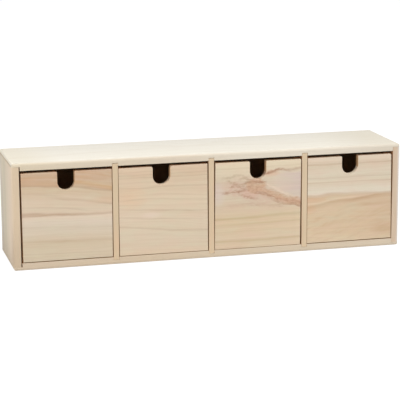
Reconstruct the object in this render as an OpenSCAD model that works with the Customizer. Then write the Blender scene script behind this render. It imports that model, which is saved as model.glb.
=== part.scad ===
// A low desktop chest with four small drawers in a row, in thin unfinished softwood.
// The ends and the dividers are let into the top and bottom boards, the thin back sits in a rebate,
// and each drawer is a nailed box with a grooved-in floor and a finger notch in its front.
// Millimetres. X runs along the row, -Y is the front, +Z is up.
// The origin is the middle of the underside.

/* [Case] */
// Length of the case from end to end
case_w = 430; // [360:5:520]
// Depth of the case from front to back
case_d = 90; // [75:1:140]
// Height of the case
case_h = 115; // [90:1:160]
// Thickness of the top, bottom and side boards
board_t = 8; // [6.5:0.25:12]
// Thickness of the dividers between the drawers
divider_t = 6; // [5:0.25:10]
// How deep the rebates are that hold the sides, in the ends of the top and bottom boards
rebate_depth = 4.25; // [2:0.25:4.5]
// How deep the dividers are let into the top and bottom boards
housing_depth = 3; // [2:0.25:4.5]
// Gap over a divider's upper end in its housing
divider_gap = 0.3; // [0.1:0.1:0.8]
// Radius of the eased outer edges of the case
case_edge_r = 3; // [0.5:0.25:3.5]

/* [Back panel] */
// Thickness of the back panel
back_t = 3; // [2:0.25:5]
// How far the back panel laps onto the boards round it
back_lap = 3.5; // [2.5:0.25:4.5]
// Gap round the edge of the back panel in its rebate
back_fit = 0.25; // [0.1:0.05:0.5]

/* [Drawer fit] */
// Gap at each side of a drawer
side_gap = 1; // [0.5:0.05:1.5]
// Gap over a drawer
top_gap = 3; // [0.5:0.25:4]
// Running gap under a drawer
rest_gap = 0.5; // [0.05:0.05:0.8]
// How far the closed fronts lie behind the front edges of the case
front_recess = 0.4; // [0:0.1:2]
// Gap between a closed drawer and the back panel
stop_gap = 0.3; // [0.1:0.1:1]

/* [Drawer boards] */
// Thickness of a drawer front
front_t = 7; // [6:0.25:12]
// Thickness of the drawer sides and the drawer back
wall_t = 5; // [4:0.25:8]
// How deep the drawer sides are let into the ends of the front
front_lap = 3.5; // [2.5:0.25:4]
// Thickness of a drawer floor
floor_t = 3; // [2:0.25:5]
// Height of the drawer floor over the drawer's lower edge
floor_rise = 4; // [3:0.25:8]
// Depth of the grooves that hold the drawer floor
groove_depth = 2.5; // [1.5:0.25:3]
// Gap between the edge of the drawer floor and the bottom of its groove
floor_fit = 0.25; // [0.1:0.05:0.5]
// Radius of the eased edges round a drawer front
front_edge_r = 0.5; // [0.3:0.1:1.5]

/* [Finger notch] */
// Width of the notch, and so of its round end
notch_w = 18; // [14:0.5:30]
// Depth of the notch from the top edge of the front
notch_depth = 20; // [16:0.5:35]

/* [Pins] */
// Diameter of a pin's shank
pin_d = 1.2; // [0.8:0.1:1.4]
// Diameter of a pin's head
pin_head_d = 1.8; // [1.6:0.1:2.2]
// Thickness of a pin's head
pin_head_t = 0.5; // [0.3:0.1:0.8]
// Length of a pin in the case and in the drawers
pin_len = 15; // [12:1:20]
// Length of a pin in the back panel
back_pin_len = 12; // [8:1:16]
// How deep the pin heads are set below the surface
pin_set = 0.4; // [0.1:0.1:0.8]
// Distance from a board's edge to the first pin
pin_margin = 16; // [12:1:20]

/* [Hidden] */
$fn = 48;
over = 1;
drawer_count = 4;
side_names = ["left", "right"];
// How wide the joint beside the left side and the right side was left open
open_joint = [0.9, 0];
// How far each drawer stands off the middle of its bay
drawer_offset = [0.6, -0.3, -0.1, -0.35];
// How far each notch was cut off the middle of its front, and how round its mouth was sanded
notch_offset = [-0.75, -2, -0.15, 0.15];
notch_mouth_r = [1, 2.2, 1, 1];

wood_case = "#e4d8c1";
wood_front = "#d8c3a2";
wood_inner = "#dccbaf";
wood_ply = "#d2b98f";
pin_steel = "#8e8a84";

front_y = -case_d / 2;
rear_y = case_d / 2;
back_y = rear_y - back_t;
bay_w = (case_w - 2 * board_t - (drawer_count - 1) * divider_t) / drawer_count;
bay_floor_z = board_t;
bay_roof_z = case_h - board_t;

drawer_w = bay_w - 2 * side_gap;
drawer_z0 = bay_floor_z + rest_gap;
drawer_z1 = bay_roof_z - top_gap;
drawer_y0 = front_y + front_recess;
drawer_y1 = back_y - stop_gap;
front_back_y = drawer_y0 + front_t;
lap_y = front_back_y - front_lap;
inner_w = drawer_w - 2 * wall_t;
floor_z = drawer_z0 + floor_rise;
notch_z = drawer_z1 - notch_depth + notch_w / 2;

// ---- places that repeat ----

function bay_x(i) = -case_w / 2 + board_t + bay_w / 2 + i * (bay_w + divider_t);
function divider_x(i) = bay_x(i) + (bay_w + divider_t) / 2;
function drawer_x(i) = bay_x(i) + drawer_offset[i];
function spread(a, b, n) = [for (k = [0:n - 1]) a + (b - a) * k / (n - 1)];

end_x = case_w / 2 - board_t / 2;
upright_xs = concat([-end_x], [for (i = [0:drawer_count - 2]) divider_x(i)], [end_x]);
case_pin_ys = [front_y + pin_margin, back_y - pin_margin];
case_pin_zs = [bay_floor_z + pin_margin, bay_roof_z - pin_margin];
wall_pin_zs = spread(drawer_z0 + pin_margin, drawer_z1 - pin_margin, 3);

// ---- shapes that repeat ----

module block(x0, x1, y0, y1, z0, z1) {
    translate([x0, y0, z0]) cube([x1 - x0, y1 - y0, z1 - z0]);
}

// What a plane takes off to ease an edge: it runs along +Z, and the board lies towards +X +Y.
module edge_waste(r, length) {
    difference() {
        translate([-over, -over, -over]) cube([r + over, r + over, length + 2 * over]);
        translate([r, r, -2 * over]) cylinder(r = r, h = length + 4 * over);
    }
}

// Waste along X at a front edge. up is 1 for an upper edge and -1 for a lower one.
module edge_waste_x(y, z, up, r, half_length) {
    translate([half_length, y, z])
        mirror([0, 0, up > 0 ? 1 : 0])
            rotate([0, -90, 0]) edge_waste(r, 2 * half_length);
}

// Waste along Z at an upright edge. side is -1 for a left edge and 1 for a right one.
module edge_waste_z(x, y, side, r, z0, z1) {
    translate([x, y, z0]) mirror([side > 0 ? 1 : 0, 0, 0]) edge_waste(r, z1 - z0);
}

// Waste along Y at an upper or lower corner, as deep as the case.
module edge_waste_y(x, z, side, up, r) {
    translate([x, rear_y, z])
        mirror([side > 0 ? 1 : 0, 0, 0])
            mirror([0, 0, up > 0 ? 1 : 0])
                rotate([90, 0, 0]) edge_waste(r, case_d);
}

// A pin that is driven along +Z from z = 0, with its head set below the surface.
module pin(length) {
    translate([0, 0, pin_set]) cylinder(d = pin_head_d, h = pin_head_t);
    translate([0, 0, pin_set]) cylinder(d = pin_d, h = length);
}

// The hole that the same pin makes, open at the surface.
module pin_hole(length) {
    translate([0, 0, -over]) cylinder(d = pin_head_d, h = over + pin_set + pin_head_t);
    cylinder(d = pin_d, h = pin_set + length);
}

// ---- pins ----

module place_bottom_pins() {
    for (x = upright_xs, y = case_pin_ys) translate([x, y, 0]) children();
}

module place_back_pins() {
    rim_x = case_w / 2 - board_t + back_lap / 2;
    rim_z0 = board_t - back_lap / 2;
    for (i = [0:drawer_count - 1], z = [rim_z0, case_h - rim_z0])
        translate([bay_x(i), rear_y, z]) rotate([90, 0, 0]) children();
    for (x = [-rim_x, rim_x], z = case_pin_zs)
        translate([x, rear_y, z]) rotate([90, 0, 0]) children();
    for (i = [0:drawer_count - 2], z = case_pin_zs)
        translate([divider_x(i), rear_y, z]) rotate([90, 0, 0]) children();
}

// The pins go through the drawer sides into the ends of the front and of the back.
module place_drawer_pins(i) {
    for (side = [-1, 1], y = [(lap_y + front_back_y) / 2, drawer_y1 - wall_t / 2], z = wall_pin_zs)
        translate([drawer_x(i) + side * drawer_w / 2, y, z]) rotate([0, -side * 90, 0]) children();
}

module bottom_pins() {
    color(pin_steel) place_bottom_pins() pin(pin_len);
}

module back_pins() {
    color(pin_steel) place_back_pins() pin(back_pin_len);
}

module drawer_pins(i) {
    color(pin_steel) place_drawer_pins(i) pin(pin_len);
}

// ---- case ----

// The space that the back panel takes out of the boards round it.
module back_rebate() {
    half_w = case_w / 2 - board_t + back_lap;
    block(-half_w, half_w, back_y, rear_y + over, board_t - back_lap, case_h - board_t + back_lap);
}

// What an upright board takes out of the top and bottom boards: it is let in by depth.
module let_in(x, half_t, depth) {
    block(x - half_t, x + half_t, front_y - over, rear_y + over, board_t - depth, case_h - board_t + depth);
}

// The top board: up is 1. The bottom board is the same board turned over: up is -1.
module level_board(up) {
    outer_z = up > 0 ? case_h : 0;
    color(wood_case) difference() {
        block(-case_w / 2, case_w / 2, front_y, rear_y, up > 0 ? bay_roof_z : 0, up > 0 ? case_h : board_t);
        for (k = [0, 1]) let_in((2 * k - 1) * case_w / 2, board_t + open_joint[k], rebate_depth);
        for (i = [0:drawer_count - 2]) let_in(divider_x(i), divider_t / 2, housing_depth);
        back_rebate();
        edge_waste_x(front_y, outer_z, up, case_edge_r, case_w / 2);
        for (side = [-1, 1]) {
            edge_waste_y(side * case_w / 2, outer_z, side, up, case_edge_r);
            edge_waste_z(side * case_w / 2, front_y, side, case_edge_r, 0, case_h);
        }
        place_bottom_pins() pin_hole(pin_len);
        place_back_pins() pin_hole(back_pin_len);
    }
}

module top_board() { level_board(1); }

module bottom_board() { level_board(-1); }

// An end of the case: side is -1 for the left and 1 for the right.
module end_board(side) {
    x = side * end_x;
    color(wood_case) difference() {
        block(x - board_t / 2, x + board_t / 2, front_y, rear_y,
              board_t - rebate_depth, case_h - board_t + rebate_depth);
        back_rebate();
        edge_waste_z(side * case_w / 2, front_y, side, case_edge_r, 0, case_h);
        place_bottom_pins() pin_hole(pin_len);
        place_back_pins() pin_hole(back_pin_len);
    }
}

module divider(i) {
    x = divider_x(i);
    color(wood_inner) difference() {
        block(x - divider_t / 2, x + divider_t / 2, front_y, back_y,
              board_t - housing_depth, case_h - board_t + housing_depth - divider_gap);
        place_bottom_pins() pin_hole(pin_len);
        place_back_pins() pin_hole(back_pin_len);
    }
}

module back_panel() {
    half_w = case_w / 2 - board_t + back_lap - back_fit;
    color(wood_ply) difference() {
        block(-half_w, half_w, back_y, rear_y,
              board_t - back_lap + back_fit, case_h - board_t + back_lap - back_fit);
        place_back_pins() pin_hole(back_pin_len);
    }
}

// ---- drawers ----

// The groove that holds the floor runs right round the drawer, at the bottom of its boards.
module floor_groove(i) {
    half_w = inner_w / 2 + groove_depth;
    translate([drawer_x(i), 0, 0])
        block(-half_w, half_w, front_back_y - groove_depth, drawer_y1 - wall_t + groove_depth,
              floor_z, floor_z + floor_t);
}

// The U-shaped notch, cut right through the front from its top edge.
module finger_notch(mouth_r) {
    block(-notch_w / 2, notch_w / 2, drawer_y0 - over, front_back_y + over, notch_z, drawer_z1 + over);
    translate([0, front_back_y + over, notch_z])
        rotate([90, 0, 0]) cylinder(d = notch_w, h = front_t + 2 * over);
    for (side = [-1, 1]) edge_waste_y(side * notch_w / 2, drawer_z1, -side, 1, mouth_r);
}

module drawer_front(i) {
    half_w = drawer_w / 2;
    color(wood_front) difference() {
        translate([drawer_x(i), 0, 0])
            difference() {
                block(-half_w, half_w, drawer_y0, front_back_y, drawer_z0, drawer_z1);
                for (side = [-1, 1])
                    translate([side * half_w, 0, 0])
                        block(-wall_t, wall_t, lap_y, front_back_y + over,
                              drawer_z0 - over, drawer_z1 + over);
                translate([notch_offset[i], 0, 0]) finger_notch(notch_mouth_r[i]);
                edge_waste_x(drawer_y0, drawer_z1, 1, front_edge_r, half_w);
                edge_waste_x(drawer_y0, drawer_z0, -1, front_edge_r, half_w);
                for (side = [-1, 1])
                    edge_waste_z(side * half_w, drawer_y0, side, front_edge_r, drawer_z0, drawer_z1);
            }
        floor_groove(i);
        place_drawer_pins(i) pin_hole(pin_len);
    }
}

module drawer_wall(i, side) {
    x = drawer_x(i) + side * (drawer_w - wall_t) / 2;
    inner_x = x - side * wall_t / 2;
    color(wood_inner) difference() {
        block(x - wall_t / 2, x + wall_t / 2, lap_y, drawer_y1, drawer_z0, drawer_z1);
        block(inner_x - groove_depth, inner_x + groove_depth, lap_y - over, drawer_y1 + over,
              floor_z, floor_z + floor_t);
        place_drawer_pins(i) pin_hole(pin_len);
    }
}

module drawer_back(i) {
    x = drawer_x(i);
    color(wood_inner) difference() {
        block(x - inner_w / 2, x + inner_w / 2, drawer_y1 - wall_t, drawer_y1, drawer_z0, drawer_z1);
        floor_groove(i);
        place_drawer_pins(i) pin_hole(pin_len);
    }
}

module drawer_floor(i) {
    half_w = inner_w / 2 + groove_depth - floor_fit;
    color(wood_ply) translate([drawer_x(i), 0, 0])
        block(-half_w, half_w,
              front_back_y - groove_depth + floor_fit, drawer_y1 - wall_t + groove_depth - floor_fit,
              floor_z, floor_z + floor_t);
}

// ---- the pieces in their places ----

top_board();
bottom_board();
for (k = [0, 1])
    end_board(2 * k - 1);
for (i = [0:drawer_count - 2])
    divider(i);
back_panel();
bottom_pins();
back_pins();
for (i = [0:drawer_count - 1]) {
    name = str("drawer_", i + 1);
    drawer_front(i);
    for (k = [0, 1])
        drawer_wall(i, 2 * k - 1);
    drawer_back(i);
    drawer_floor(i);
    drawer_pins(i);
}
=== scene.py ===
# A low desktop chest with four small drawers in a row, in thin unfinished softwood.
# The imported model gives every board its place. Here each board gets its sanded edges and its wood.
import math

import bmesh
import bpy
from mathutils import Matrix, Vector


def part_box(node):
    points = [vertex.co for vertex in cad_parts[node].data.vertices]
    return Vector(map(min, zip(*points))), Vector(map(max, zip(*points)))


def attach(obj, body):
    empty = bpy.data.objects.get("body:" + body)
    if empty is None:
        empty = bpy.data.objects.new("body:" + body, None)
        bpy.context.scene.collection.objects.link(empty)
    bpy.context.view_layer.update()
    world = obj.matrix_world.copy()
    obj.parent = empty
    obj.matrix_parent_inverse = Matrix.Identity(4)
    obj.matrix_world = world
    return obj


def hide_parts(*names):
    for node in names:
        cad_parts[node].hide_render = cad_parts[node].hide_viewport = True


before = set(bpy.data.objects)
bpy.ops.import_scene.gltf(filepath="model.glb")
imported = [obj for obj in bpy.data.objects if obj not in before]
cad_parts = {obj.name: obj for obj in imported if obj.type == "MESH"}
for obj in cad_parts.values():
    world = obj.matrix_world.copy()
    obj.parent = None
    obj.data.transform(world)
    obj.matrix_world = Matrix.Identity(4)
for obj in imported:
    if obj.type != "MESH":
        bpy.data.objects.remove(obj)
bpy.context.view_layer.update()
MM = 0.001


# ---- Top and bottom boards ----
# Two long boards of planed softwood, 8 mm thick, with the fibres running along the row. Their ends
# are rebated for the sides and grooved for the dividers, and they are glued and pinned, never
# painted. The edges that a hand meets are eased with sandpaper.

class Wire:
    """An output in a material. A sum written with wires adds its Math nodes."""

    def __init__(self, finish, socket):
        self.finish = finish
        self.socket = socket

    def __add__(self, other):
        return self.finish.sum("ADD", self, other)

    def __radd__(self, other):
        return self.finish.sum("ADD", other, self)

    def __sub__(self, other):
        return self.finish.sum("SUBTRACT", self, other)

    def __rsub__(self, other):
        return self.finish.sum("SUBTRACT", other, self)

    def __mul__(self, other):
        return self.finish.sum("MULTIPLY", self, other)

    def __rmul__(self, other):
        return self.finish.sum("MULTIPLY", other, self)

    def __truediv__(self, other):
        return self.finish.sum("DIVIDE", self, other)

    def __pow__(self, other):
        return self.finish.sum("POWER", self, other)


class Finish:
    """A material, or the world's light, while its nodes are put together."""

    def __init__(self, owner):
        owner.use_nodes = True
        self.owner = owner
        self.tree = owner.node_tree
        self.tree.nodes.clear()

    def add(self, kind, settings=None, sockets=None, output=0):
        """A new node: its settings are made first, then its sockets get their values or wires."""
        node = self.tree.nodes.new("ShaderNode" + kind)
        for name, value in (settings or {}).items():
            if name == "stops":
                set_stops(node.color_ramp, value)
            else:
                setattr(node, name, value)
        for name, value in (sockets or {}).items():
            if isinstance(value, Wire):
                self.tree.links.new(value.socket, node.inputs[name])
            else:
                node.inputs[name].default_value = value
        return Wire(self, node.outputs[output]) if node.outputs else node

    def sum(self, operation, *values):
        """Plain numbers, or wires that carry them, put together by a Math node."""
        return self.add("Math", {"operation": operation}, dict(enumerate(values)))

    def limit(self, value):
        """The value, kept between 0 and 1."""
        return self.add("Math", {"operation": "ADD", "use_clamp": True}, {0: value, 1: 0.0})

    def mix(self, share, first, second):
        """The first colour where share is 0, and the second where it is 1."""
        settings = {"data_type": "RGBA"}
        return self.add("Mix", settings, {0: share, 6: first, 7: second}, 2)

    def ramp(self, place, stops, smooth="LINEAR"):
        """A colour, or a plain number, that changes with place through the given stops."""
        return self.add("ValToRGB", {"stops": (smooth, stops)}, {0: place})

    def cloud(self, place, size, seed, detail=2.0, roughness=0.5):
        """Soft noise from 0 to 1, in blotches that are size millimetres along, across and through."""
        shift = (seed * 3.7, seed * 1.3, seed * 2.1)
        settings = {"operation": "MULTIPLY_ADD"}
        scaled = self.add("VectorMath", settings, {0: place, 1: [1 / s for s in size], 2: shift})
        sockets = {"Vector": scaled, "Scale": 1.0, "Detail": detail, "Roughness": roughness}
        return self.add("TexNoise", None, sockets)


def set_stops(color_ramp, value):
    """Gives a ramp its way of blending and its stops, each a place with a colour or a number."""
    smooth, stops = value
    color_ramp.interpolation = smooth
    while len(color_ramp.elements) < len(stops):
        color_ramp.elements.new(1.0)
    for element, (place, shade) in zip(color_ramp.elements, stops):
        element.position = place
        element.color = shade if isinstance(shade, tuple) else (shade, shade, shade, 1.0)


def tone(red, green, blue):
    """A colour from 0 to 255, as the light that the renderer works in."""
    parts = [c / 255 for c in (red, green, blue)]
    linear = [c / 12.92 if c < 0.04045 else ((c + 0.055) / 1.055) ** 2.4 for c in parts]
    return (linear[0], linear[1], linear[2], 1.0)


# Which way the fibres run, with the two directions across them.
GRAIN = {"x": (0, 1, 2), "y": (1, 2, 0), "z": (2, 1, 0)}
# Where the case's outer faces lie, in the millimetres that the finishes work in.
board_low, board_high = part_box("top_board")
CASE_END, CASE_REAR, CASE_TOP = [round(c / MM, 3) for c in board_high]
CASE_FRONT = round(board_low.y / MM, 3)
# How far under its outer face a board's painted shade in the gaps begins.
SHADE_FROM = CASE_TOP - round(board_low.z / MM, 3) - 0.8


def new_wood(name, grain):
    """A new finish, and its place on the board in millimetres: along, across and through."""
    finish = Finish(bpy.data.materials.new(name))
    spot = finish.add("TexCoord", None, None, "Object")
    millimetres = finish.add("VectorMath", {"operation": "SCALE"}, {0: spot, "Scale": 1 / MM})
    parts = [finish.add("SeparateXYZ", None, {0: millimetres}, k) for k in range(3)]
    along, across, through = [parts[k] for k in GRAIN[grain]]
    place = finish.add("CombineXYZ", None, {0: along, 1: across, 2: through})
    return finish, place, along, across, through


def close_wood(finish, place, colour, lines, seed, fibre_tone, fibre_share, end_grain=False):
    """Adds the fibres and pores that every cut of this wood shows, and closes the material."""
    length = 0.5 if end_grain else 26.0
    fibres = finish.cloud(place, (length, 0.55, 0.55), seed, 3.0, 0.6)
    ducts = finish.cloud(place, (length * 0.3, 0.3, 0.3), seed + 5, 1.0)
    flecks = finish.limit((ducts - 0.66) * 9.0)
    colour = finish.mix(finish.limit((fibres - 0.42) * 3.0) * fibre_share, colour, fibre_tone)
    colour = finish.mix(flecks * (0.5 if end_grain else 0.22), colour, fibre_tone)
    height = lines * 0.5 + fibres * 0.8 - flecks * 0.7
    bump = finish.add("Bump", None, {"Strength": 0.35, "Distance": 0.00012, "Height": height})
    shader = finish.add("BsdfPrincipled", None, {
        "Base Color": colour,
        "Roughness": 0.62 + fibres * 0.22,
        "Specular IOR Level": 0.3,
        "Normal": bump,
    })
    finish.add("OutputMaterial", None, {"Surface": shader})
    return finish.owner


def softwood(name, grain, tones, pith, ring, strength, seed, end_grain=False, tints_and_painted_light=None):
    """Wood whose rings, each ring millimetres wide, lie round a pith line that is given across and
    through the board. Its tones are those of early and late wood, and tints_and_painted_light changes
    them where handling and light have, and adds painted shade and painted highlights."""
    finish, place, along, across, through = new_wood(name, grain)
    wander = (finish.cloud(place, (190.0, 60.0, 60.0), seed, 1.5) - 0.5) * 22.0
    waver = (finish.cloud(place, (45.0, 12.0, 12.0), seed + 1, 1.0) - 0.5) * 1.6
    from_pith = (across - pith[0]) ** 2.0 + (through - pith[1]) ** 2.0
    age = (finish.sum("SQRT", from_pith) + wander + waver) / ring
    season = finish.sum("FRACT", age)
    year = finish.sum("FLOOR", age)
    vigour = finish.add("TexWhiteNoise", {"noise_dimensions": "1D"}, {"W": year + seed * 7.0})
    line = season ** 3.5 * (0.35 + vigour * 0.65)
    drift = finish.cloud(place, (260.0, 18.0, 18.0), seed + 2, 2.0)
    colour = finish.mix(finish.limit(line * strength + (drift - 0.5) * 0.7), tones[0], tones[1])
    if tints_and_painted_light is not None:
        colour = tints_and_painted_light(finish, colour, along, across, through)
    fibre_tone = tone(176, 152, 122) if end_grain else tone(196, 174, 143)
    share = 0.5 if end_grain else 0.2
    return close_wood(finish, place, colour, line, seed + 3, fibre_tone, share, end_grain)


CASE_ENDS = (tone(206, 188, 160), tone(186, 160, 126))
END_STRENGTH = 0.8


def board_woods(name, grain, tones, end_tones, pith, ring, strength, seed, tints_and_painted_light=None,
                end_painted_shade=None):
    """The two finishes of one board: its long grain, and the end grain that the saw has left."""
    return [
        softwood(name + " wood", grain, tones, pith, ring, strength, seed, False, tints_and_painted_light),
        softwood(name + " end grain", grain, end_tones, pith, ring, END_STRENGTH, seed, True,
                 end_painted_shade),
    ]


# Which edges sandpaper reaches, by their angle and length, how far it rounds them, and how nearly
# a face looks along the fibres where it shows end grain.
ARRIS_ANGLE = math.radians(40)
SHORT_EDGE = 2.5 * MM
BOARD_EASE = 0.35 * MM
END_FACE = 0.98
# What counts as flat, and as one spot, when a board's mesh is cleaned.
FLAT_ANGLE = math.radians(0.5)
MERGE = 0.001 * MM


def is_arris(edge):
    """True for a long outward edge, which sandpaper reaches."""
    if len(edge.link_faces) != 2 or edge.calc_length() < SHORT_EDGE:
        return False
    return edge.calc_face_angle_signed() > ARRIS_ANGLE


def finish_board(board, name, body, nodes, grain, woods, ease):
    """Turns a board that is being shaped into a piece, with long grain in the first wood and ends in
    the second. Its marked edges are rounded by ease, times each edge's own mark, and its other
    corners stay sharp."""
    axis = GRAIN[grain][0]
    sanding = board.edges.layers.float["bevel_weight_edge"]
    for edge in board.edges:
        if edge[sanding] == 0.0 and edge.calc_face_angle(0.0) > ARRIS_ANGLE:
            edge.smooth = False
    for face in board.faces:
        face.smooth = True
        face.material_index = 1 if abs(face.normal[axis]) > END_FACE else 0
    mesh = bpy.data.meshes.new(name)
    board.to_mesh(mesh)
    board.free()
    for wood in woods:
        mesh.materials.append(wood)
    piece = bpy.data.objects.new(name, mesh)
    bpy.context.scene.collection.objects.link(piece)
    rounded = piece.modifiers.new("sanded edges", "BEVEL")
    rounded.limit_method = "WEIGHT"
    rounded.width = ease
    rounded.segments = 3
    rounded.use_clamp_overlap = False
    weighted = piece.modifiers.new("flat faces", "WEIGHTED_NORMAL")
    weighted.keep_sharp = True
    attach(piece, body)
    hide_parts(*nodes)


def sanded(node, body, grain, woods, ease=BOARD_EASE):
    """The node's board with its sharp outward edges taken off by sandpaper."""
    board = bmesh.new()
    board.from_mesh(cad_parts[node].data)
    bmesh.ops.remove_doubles(board, verts=board.verts, dist=MERGE)
    bmesh.ops.dissolve_limit(board, angle_limit=FLAT_ANGLE, verts=board.verts, edges=board.edges)
    sanding = board.edges.layers.float.new("bevel_weight_edge")
    for edge in board.edges:
        if is_arris(edge):
            edge[sanding] = 1.0
    finish_board(board, "sanded_" + node, body, [node], grain, woods, ease)


def rebate_painted_shade(finish, colour, along, across, through):
    """Painted shade: inside the joints, the end grain is painted dark brown, as the shade in the joint
    lines.
    """
    inside = finish.limit(CASE_END - 2.0 - finish.sum("ABSOLUTE", along))
    return finish.mix(inside, colour, tone(146, 104, 64))


def painted_gap_shade(finish, colour, across, share):
    """Painted shade: behind the front edges, wood that faces the drawers is painted browner, as the
    shade in the gaps round them.
    """
    behind = finish.limit((across - (CASE_FRONT + 0.4)) * 2.5)
    return finish.mix(finish.limit(share) * behind, colour, tone(200, 152, 106))


def rear_edge(finish, colour, across):
    """Round the back panel the boards' edges stand against the wall, and have kept their brown."""
    share = finish.limit((across - (CASE_REAR - 0.8)) * 2.5) * 0.8
    return finish.mix(share, colour, tone(218, 196, 162))


def front_edge(finish, colour, along, across, share, edge_tones):
    """A long board's front edge, whose tone changes from its left end to its right one."""
    edge_tone = finish.ramp((along + CASE_END) / (CASE_END * 2), edge_tones)
    return finish.mix(finish.limit((CASE_FRONT + 2.6 - across) / 2.2) * share, colour, edge_tone)


def top_tints_and_shade(finish, colour, along, across, through):
    """The top is darker and greyer towards the wall, partly its tone and partly painted shade, and its
    ends and its front edge have kept more brown. Its underside gets painted shade over the drawers.
    """
    depth = finish.limit((across - CASE_FRONT) / (CASE_REAR - CASE_FRONT))
    # Partly painted shade: the top is made darker and greyer towards the wall.
    colour = finish.mix(depth * 0.7, colour, tone(219, 215, 206))
    colour = rear_edge(finish, colour, across)
    colour = finish.mix(finish.limit((along - 130.0) / 60.0) * 0.6, colour, tone(219, 211, 193))
    colour = finish.mix(finish.limit((-160.0 - along) / 40.0) * 0.5, colour, tone(225, 216, 195))
    colour = front_edge(finish, colour, along, across, 0.85, [
        (0.0, tone(209, 194, 168)), (0.4, tone(213, 197, 175)), (0.6, tone(223, 213, 195)),
        (0.85, tone(223, 212, 195)), (1.0, tone(218, 208, 191)),
    ])
    return painted_gap_shade(finish, colour, across, (CASE_TOP - SHADE_FROM - through) * 2.0)


# The top board is paler and greyer than the other boards, which is partly painted sheen from the light
# above.
top_tones_and_sheen = (tone(240, 235, 222), tone(228, 219, 202))
top_woods = board_woods("top board", "x", top_tones_and_sheen, CASE_ENDS, (12, 60), 5.5, 0.5, 1,
                        top_tints_and_shade, rebate_painted_shade)
sanded("top_board", "case", "x", top_woods)


def bottom_tints_and_shade(finish, colour, along, across, through):
    """The plank was cut across a darker streak, which leaves the left end of its front edge brown.
    Its top face gets painted shade under the drawers.
    """
    colour = rear_edge(finish, colour, across)
    colour = front_edge(finish, colour, along, across, 0.7, [
        (0.0, tone(202, 184, 162)), (0.35, tone(207, 188, 163)), (0.65, tone(211, 196, 174)),
        (1.0, tone(216, 202, 182)),
    ])
    return painted_gap_shade(finish, colour, across, (through - SHADE_FROM) * 2.0)


bottom_tones = (tone(216, 200, 177), tone(200, 178, 148))
bottom_woods = board_woods("bottom board", "x", bottom_tones, CASE_ENDS, (-20, 48), 4.6, 0.8, 11,
                           bottom_tints_and_shade, rebate_painted_shade)
sanded("bottom_board", "case", "x", bottom_woods)


# ---- Sides ----
# Two short boards that stand in the rebates, with the fibres upright, so that the case doesn't
# split at its corners. They are glued in and pinned from below.

def left_tints_and_shade(finish, colour, along, across, through):
    """Warm near the front and darker, greenish grey towards the wall, with a dim stripe there; the
    darkening is partly painted shade. It is browner low down and along the front edge, and its inner
    face gets painted shade behind the front edge."""
    # Partly painted shade: the side is made darker towards the wall.
    tones = [(0.0, tone(234, 210, 184)), (0.25, tone(229, 211, 189)), (0.45, tone(221, 207, 184)),
             (0.62, tone(206, 197, 174)), (0.72, tone(213, 203, 180)), (1.0, tone(212, 203, 189))]
    depth = (across - CASE_FRONT) / (CASE_REAR - CASE_FRONT)
    colour = finish.mix(0.75, colour, finish.ramp(depth, tones))
    stripe = finish.limit(1.0 - finish.sum("ABSOLUTE", across - 32.0) / 10.0)
    stripe = stripe * finish.limit((94.0 - along) / 20.0)
    colour = finish.mix(stripe * 0.8, colour, tone(193, 184, 171))
    low_front = finish.limit((-24.0 - across) / 12.0) * finish.limit((48.0 - along) / 40.0)
    colour = finish.mix(low_front * 0.6, colour, tone(212, 185, 158))
    colour = finish.mix(finish.limit((32.0 - along) / 50.0) * 0.9, colour, tone(208, 189, 168))
    edge_share = finish.limit((CASE_FRONT + 1.6 - across) / 1.4)
    colour = finish.mix(edge_share * 0.85, colour, tone(209, 188, 160))
    low_edge = finish.limit((56.0 - along) / 50.0) * finish.limit((-34.0 - across) / 9.0)
    colour = finish.mix(low_edge * 0.9, colour, tone(197, 177, 152))
    colour = rear_edge(finish, colour, across)
    return painted_gap_shade(finish, colour, across, (through + (CASE_END - SHADE_FROM)) * 2.0)


def right_tints_highlight_and_shade(finish, colour, along, across, through):
    """The outer front corner is painted paler, a painted highlight where its rounding catches the
    light.
    The inner face gets painted shade behind the front edge.
    """
    # Painted highlight where the rounded outer front corner catches the light.
    painted_highlight = finish.limit((through - (CASE_END - 3.4)) / 1.6) * finish.limit((-34.0 - across) / 9.0)
    colour = finish.mix(painted_highlight * 0.8, colour, tone(224, 213, 201))
    colour = rear_edge(finish, colour, across)
    return painted_gap_shade(finish, colour, across, (CASE_END - SHADE_FROM - through) * 2.0)


left_tones = (tone(222, 206, 184), tone(204, 184, 158))
left_woods = board_woods("left side", "z", left_tones, CASE_ENDS, (20, -160), 6.0, 0.7, 21,
                         left_tints_and_shade)
sanded("left_side", "case", "z", left_woods)

right_tones = (tone(212, 190, 166), tone(197, 172, 143))
right_woods = board_woods("right side", "z", right_tones, CASE_ENDS, (-16, 260), 5.2, 0.7, 31,
                          right_tints_highlight_and_shade)
sanded("right_side", "case", "z", right_woods)


# ---- Dividers ----
# Three thinner boards, 6 mm, glued into grooves in the top and bottom boards. Only their front
# edges show, as narrow strips of long grain between the drawers.

divider_tones = {
    "left_divider": (tone(212, 191, 160), tone(196, 171, 136), 41),
    "middle_divider": (tone(215, 193, 162), tone(199, 174, 140), 51),
    "right_divider": (tone(219, 198, 168), tone(203, 178, 144), 61),
}


def divider_tints_and_shade(finish, colour, along, across, through):
    """Painted shade makes it brown inside the case, behind a front edge that is paler, here and there
    with a pink blush.
    """
    place = finish.add("CombineXYZ", None, {0: along, 1: across, 2: through})
    blush = finish.limit((finish.cloud(place, (34.0, 6.0, 2.5), 44, 1.0) - 0.5) * 3.0)
    colour = finish.mix(blush * 0.6, colour, tone(223, 188, 156))
    return painted_gap_shade(finish, colour, across, 1.0)


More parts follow.
